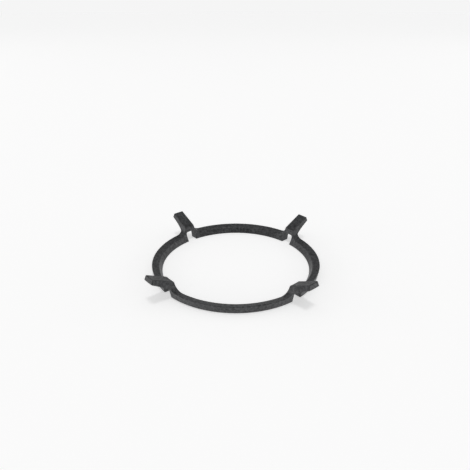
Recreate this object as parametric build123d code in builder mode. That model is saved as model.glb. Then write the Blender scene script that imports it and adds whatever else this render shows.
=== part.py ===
"""Cast-iron wok ring for a gas hob, made as one casting: a ring with four slotted, rising arms.

All sizes are in millimetres. The origin is the middle of the ring on the plane it stands on,
+Z is up, and the arms lie along +X, +Y, -X and -Y.
"""

from build123d import *

import math
import os

# Ring: a low band whose walls lean outwards and whose top falls towards the middle
ring_radius = 117.8  # outer edge of the top
ring_height = 10.9  # outer edge of the top
ring_top_width = 9.7
ring_base_width = 12.3
outer_wall_lean = 2.0  # how far the outer wall moves out between base and top
top_fall = 2.2  # how much lower the inner edge of the top is than its outer edge
base_bevel = 0.6
rim_bevel = 0.7  # narrow flat that runs along the upper edges of ring and arms

# Arms: seats for the wok, all on one cone that rises outwards
arm_count = 4
seat_inset = 7.9  # from the outer edge of the ring's top in to the start of the seat
seat_start_height = 21.8
seat_angle = 26.2  # degrees above level
seat_edge_radius = 4.0  # where the seat rolls over into the inner wall of the leg
tip_overhang = 22.0  # from the outer edge of the ring's top out to the upper edge of the tip
tip_width = 16.0  # across the upper edge of the tip
tip_depth = 7.0
tip_face_lean = 21.0  # degrees from upright
tip_edge_radius = 1.3
underside_angle = 32.3  # degrees above level
armpit_radius = 3.0  # between the outer wall and the underside of the arm
side_draft = 7.0  # degrees that each side of the arm leans, so that it leaves its mould
foot_gap = 2.8  # between the start of the seat and the hollow sweep that runs down to the top of the ring
leg_bend_radius = 12.0  # where the inner wall of the ring turns steeper to go up the leg

# Slots that drop over the fingers of the pan support
slot_width = 14.6
slot_height = 13.8
slot_corner_radius = 2.5
slot_edge_bevel = 0.3  # narrow flat around both mouths of the slot

# Corners that follow from these sizes, in the upright plane through the middle of an arm
base_outer = ring_radius - outer_wall_lean
base_inner = base_outer - ring_base_width
top_inner = ring_radius - ring_top_width
top_inner_height = ring_height - top_fall
leg_bend = (top_inner, top_inner_height)
foot_height = seat_start_height - top_inner_height - foot_gap
foot_radius = foot_height / (1 - math.sin(math.radians(side_draft)))
seat_start = (ring_radius - seat_inset, seat_start_height)
seat_slope = math.tan(math.radians(seat_angle))
tip_radius = ring_radius + tip_overhang
tip_height = seat_start_height + (seat_inset + tip_overhang) * seat_slope
tip_high = (tip_radius, tip_height)
tip_low = (
    tip_radius + tip_depth * math.sin(math.radians(tip_face_lean)),
    tip_height - tip_depth * math.cos(math.radians(tip_face_lean)),
)
underside_slope = math.tan(math.radians(underside_angle))
wall_slope = outer_wall_lean / ring_height
underside_start = tip_low[1] - underside_slope * (tip_low[0] - base_outer)
armpit_height = underside_start / (1 - underside_slope * wall_slope)
armpit = (base_outer + armpit_height * wall_slope, armpit_height)

# The blanks run on past the casting by this much on every side
blank_run_out = 8.0
blank_inner = base_inner - 2 * blank_run_out
blank_outer = tip_low[0] + 2 * blank_run_out
blank_floor = -4 * blank_run_out
top_slope = top_fall / ring_top_width

# Blank of one arm: a bar that rises along the seat, wider below than above by the draft of its sides
bar_start = blank_inner + blank_run_out
bar_end = blank_outer - blank_run_out
bar_length = (bar_end - bar_start) / math.cos(math.radians(seat_angle))
bar_depth = tip_height + blank_run_out
bar_seat = tip_height - (tip_radius - bar_start) * seat_slope
draft_slope = math.tan(math.radians(side_draft))
with BuildPart() as arm_blank:
    with BuildSketch(Plane.YZ.offset(bar_start)):
        with BuildLine():
            low_half_width = tip_width / 2 + bar_depth * draft_slope
            top_half_width = tip_width / 2 - blank_run_out * draft_slope
            Polyline(
                (-low_half_width, bar_seat - bar_depth),
                (low_half_width, bar_seat - bar_depth),
                (top_half_width, bar_seat + blank_run_out),
                (-top_half_width, bar_seat + blank_run_out),
                close=True,
            )
        make_face()
    extrude(amount=bar_length, dir=(1, 0, seat_slope))

# Upper form of the casting: a dished disc that carries the ring's top, with the arm bars standing on
# it and a hollow sweep along both feet of each bar
with BuildPart() as upper_form:
    with BuildSketch(Plane.XZ):
        with BuildLine():
            Polyline(
                (blank_inner, blank_floor),
                (blank_outer, blank_floor),
                (blank_outer, top_inner_height + (blank_outer - top_inner) * top_slope),
                (blank_inner, top_inner_height + (blank_inner - top_inner) * top_slope),
                close=True,
            )
        make_face()
    revolve(axis=Axis.Z)
    with PolarLocations(radius=0, count=arm_count):
        add(arm_blank.part)
    feet = upper_form.edges(Select.NEW).sort_by(SortBy.LENGTH)[-2 * arm_count :]
    fillet(feet, radius=foot_radius)

# The room that one slot takes, open at the base and round at its two upper corners
with BuildPart() as slot:
    with BuildSketch(Plane.YZ) as slot_outline:
        with BuildLine():
            Polyline(
                (-slot_width / 2, -blank_run_out),
                (slot_width / 2, -blank_run_out),
                (slot_width / 2, slot_height),
                (-slot_width / 2, slot_height),
                close=True,
            )
        make_face()
        fillet(slot_outline.vertices().group_by(Axis.Y)[-1], radius=slot_corner_radius)
    extrude(amount=tip_radius)

# The casting: the side outline of ring, leg and arm turned about the middle, cut by the upper form
with BuildPart() as wok_ring:
    with BuildSketch(Plane.XZ) as side_outline:
        with BuildLine():
            Polyline(
                (base_inner, 0),
                (base_outer, 0),
                armpit,
                tip_low,
                tip_high,
                seat_start,
                leg_bend,
                close=True,
            )
        make_face()
        chamfer(side_outline.vertices().group_by(Axis.Y)[0], length=base_bevel)
        fillet(side_outline.vertices().sort_by_distance(armpit)[0], radius=armpit_radius)
        fillet(side_outline.vertices().sort_by_distance(tip_low)[0], radius=tip_edge_radius)
        fillet(side_outline.vertices().sort_by_distance(tip_high)[0], radius=tip_edge_radius)
        fillet(side_outline.vertices().sort_by_distance(seat_start)[0], radius=seat_edge_radius)
        fillet(side_outline.vertices().sort_by_distance(leg_bend)[0], radius=leg_bend_radius)
    revolve(axis=Axis.Z)
    add(upper_form.part, mode=Mode.INTERSECT)
    chamfer(wok_ring.edges(Select.NEW), length=rim_bevel)
    with PolarLocations(radius=0, count=arm_count):
        add(slot.part, mode=Mode.SUBTRACT)
    chamfer(wok_ring.edges(Select.NEW), length=slot_edge_bevel)
wok_ring.part.label = "wok_ring"

os.makedirs("parts", exist_ok=True)
export_step(wok_ring.part, "parts/wok_ring.step")
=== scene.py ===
"""A cast-iron wok ring on a pale table, lit by soft studio lamps. Lengths are in metres."""

import math

import bmesh
import bpy
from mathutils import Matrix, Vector

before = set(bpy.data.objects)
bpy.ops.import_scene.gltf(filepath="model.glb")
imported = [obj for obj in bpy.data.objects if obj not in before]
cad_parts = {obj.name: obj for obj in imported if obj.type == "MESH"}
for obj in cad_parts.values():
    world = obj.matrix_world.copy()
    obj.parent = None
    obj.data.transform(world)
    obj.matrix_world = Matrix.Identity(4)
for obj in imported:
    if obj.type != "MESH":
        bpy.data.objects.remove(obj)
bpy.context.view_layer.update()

# Wok ring: one casting, a low round band with slotted arms that rise outwards and carry the wok.
# It is poured grey iron from a sand mould, shot-blasted and dipped in a matt black heat-proof coat,
# so the skin keeps the fine grain of the sand.
MM = 0.001
SAND_GRAIN = 1.6 * MM  # grit of the moulding sand, drawn coarse enough to show
PIT_DEPTH = 0.3 * MM  # how deep the skin seems between the grains
COAT_CLOUD = 3.5 * MM  # patches where the dipped coat lies thicker or thinner
THICK_COAT = 0.36  # value of the cloud pattern up to which the coat is at its darkest
THIN_COAT = 0.64  # value of the cloud pattern from which the coat is at its palest
IRON_DARK = "111214"
IRON_LIGHT = "4A4B4D"
COAT_ROUGHNESS = 0.43
COAT_IOR = 1.5


def linear(hex_colour):
    """A linear RGBA colour from an sRGB hex value."""
    colour = []
    for start in (0, 2, 4):
        value = int(hex_colour[start : start + 2], 16) / 255
        colour.append(value / 12.92 if value <= 0.04045 else ((value + 0.055) / 1.055) ** 2.4)
    return (*colour, 1)


def add_node(tree, kind, settings=(), links=()):
    """Adds a node of this kind, with {setting or input: value} and {input: output socket}."""
    node = tree.nodes.new(kind)
    for name, value in dict(settings).items():
        if name in node.inputs:
            node.inputs[name].default_value = value
        else:
            setattr(node, name, value)
    for name, socket in dict(links).items():
        tree.links.new(socket, node.inputs[name])
    return node


# Sand-cast iron under a matt black coat: near-black with a faint blue cast and slightly paler
# patches, dull, with a soft sheen where a wide lamp grazes it, and a skin of fine pits that breaks
# that sheen up.
iron = bpy.data.materials.new("sand_cast_iron_matt_black_coat")
iron.use_nodes = True
tree = iron.node_tree
shader = tree.nodes["Principled BSDF"]
shader.inputs["Metallic"].default_value = 0.0
shader.inputs["IOR"].default_value = COAT_IOR
shader.inputs["Roughness"].default_value = COAT_ROUGHNESS
place = add_node(tree, "ShaderNodeTexCoord")
cloud = add_node(
    tree,
    "ShaderNodeTexNoise",
    {"Scale": 1 / COAT_CLOUD, "Detail": 3.0, "Roughness": 0.75},
    {"Vector": place.outputs["Object"]},
)
grain = add_node(
    tree,
    "ShaderNodeTexNoise",
    {"Scale": 1 / SAND_GRAIN, "Detail": 2.0, "Roughness": 0.6},
    {"Vector": place.outputs["Object"]},
)
tint = add_node(tree, "ShaderNodeValToRGB", links={"Fac": cloud.outputs["Fac"]})
tint.color_ramp.elements[0].position = THICK_COAT
tint.color_ramp.elements[0].color = linear(IRON_DARK)
tint.color_ramp.elements[1].position = THIN_COAT
tint.color_ramp.elements[1].color = linear(IRON_LIGHT)
tree.links.new(tint.outputs["Color"], shader.inputs["Base Color"])
pits = add_node(
    tree,
    "ShaderNodeBump",
    {"Strength": 0.8, "Distance": PIT_DEPTH},
    {"Height": grain.outputs["Fac"]},
)
tree.links.new(pits.outputs["Normal"], shader.inputs["Normal"])

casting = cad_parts["wok_ring"]
casting.data.materials.clear()
casting.data.materials.append(iron)

# Table: a plain white light table, wide enough to fill the view, that the ring stands on. It glows
# softly from within, so the ring leaves only faint shadows on it.
TABLE_HALF = 40.0
TABLE_DROP = 0.3 * MM  # keeps the table's face just clear of the ring's base
TABLE_WHITE = "E8E8E8"
TABLE_ROUGHNESS = 0.9
TABLE_GLOW = 0.48
# Frosted white plastic lit from below: flat, even and without any gloss.
board = bpy.data.materials.new("frosted_white_light_table")
board.use_nodes = True
surface = board.node_tree.nodes["Principled BSDF"]
surface.inputs["Base Color"].default_value = linear(TABLE_WHITE)
surface.inputs["Roughness"].default_value = TABLE_ROUGHNESS
surface.inputs["Specular IOR Level"].default_value = 0.0
surface.inputs["Emission Color"].default_value = (1, 1, 1, 1)
surface.inputs["Emission Strength"].default_value = TABLE_GLOW
table_mesh = bmesh.new()
bmesh.ops.create_grid(table_mesh, x_segments=1, y_segments=1, size=TABLE_HALF)
table_data = bpy.data.meshes.new("table")
table_mesh.to_mesh(table_data)
table_mesh.free()
table_data.materials.append(board)
table_top = bpy.data.objects.new("table", table_data)
bpy.context.collection.objects.link(table_top)
table_top.location.z = -TABLE_DROP

# Camera: looks down at the ring from between two arms, a little over half a metre away. Its lens
# and sensor are in millimetres, and its shifts bring the ring to its place in the picture.
VIEW_AZIMUTH = math.radians(48.74)
VIEW_ELEVATION = math.radians(30.36)
VIEW_DISTANCE = 0.6246


def direction(azimuth, elevation):
    """From the ring towards a point this far anticlockwise from -Y and this high, in radians."""
    level = math.cos(elevation)
    return Vector((math.sin(azimuth) * level, -math.cos(azimuth) * level, math.sin(elevation)))


def aim(thing, towards, distance):
    """Puts a camera or a lamp this far off in this direction, and turns it to face the ring."""
    thing.location = towards * distance
    thing.rotation_mode = "QUATERNION"
    thing.rotation_quaternion = (-towards).to_track_quat("-Z", "Y")


camera = bpy.data.objects.new("camera", bpy.data.cameras.new("camera"))
bpy.context.collection.objects.link(camera)
aim(camera, direction(VIEW_AZIMUTH, VIEW_ELEVATION), VIEW_DISTANCE)
camera.data.sensor_width = 36
camera.data.lens = 33.41
camera.data.shift_x = -0.0018
camera.data.shift_y = 0.0637
camera.data.clip_start = 0.01
bpy.context.scene.camera = camera

# Lamps: a dim room whose walls are pale low down, a small key lamp almost overhead and a wide, low
# soft box at each side.
LAMP_DISTANCE = 6.0
BOX_WIDTH = 6.0
BOX_HEIGHT = 2.0
WALL_PALE = 0.915
WALL_DIM = 0.36
PALE_TOP = 0.05  # the walls are pale up to here, as the sine of the angle above level
DIM_FOOT = 0.16  # the walls are dim from here up, as the sine of the angle above level
room = bpy.data.worlds.new("dim_room_with_pale_horizon")
room.use_nodes = True
sky = room.node_tree
gaze = add_node(sky, "ShaderNodeTexCoord")
climb = add_node(sky, "ShaderNodeSeparateXYZ", links={"Vector": gaze.outputs["Generated"]})
walls = add_node(sky, "ShaderNodeValToRGB", links={"Fac": climb.outputs["Z"]})
walls.color_ramp.elements[0].position = PALE_TOP
walls.color_ramp.elements[0].color = (WALL_PALE, WALL_PALE, WALL_PALE, 1)
walls.color_ramp.elements[1].position = DIM_FOOT
walls.color_ramp.elements[1].color = (WALL_DIM, WALL_DIM, WALL_DIM, 1)
sky.links.new(walls.outputs["Color"], sky.nodes["Background"].inputs["Color"])
sky.nodes["Background"].inputs["Strength"].default_value = 1.0
bpy.context.scene.world = room


def hang(name, kind, azimuth, elevation, energy):
    """A lamp this far round from the camera and this high, in degrees, that faces the ring."""
    lamp = bpy.data.objects.new(name, bpy.data.lights.new(name, kind))
    bpy.context.collection.objects.link(lamp)
    towards = direction(VIEW_AZIMUTH + math.radians(azimuth), math.radians(elevation))
    aim(lamp, towards, LAMP_DISTANCE)
    lamp.data.energy = energy
    return lamp.data


key = hang("key", "SUN", azimuth=25, elevation=82, energy=0.54)
key.angle = math.radians(11)
left_box = hang("left_box", "AREA", azimuth=-88, elevation=10, energy=73)
right_box = hang("right_box", "AREA", azimuth=92, elevation=10, energy=64)
for box in (left_box, right_box):
    box.shape = "RECTANGLE"
    box.size = BOX_WIDTH
    box.size_y = BOX_HEIGHT

# The picture shows the colours as they are set, with no film curve.
bpy.context.scene.view_settings.view_transform = "Standard"
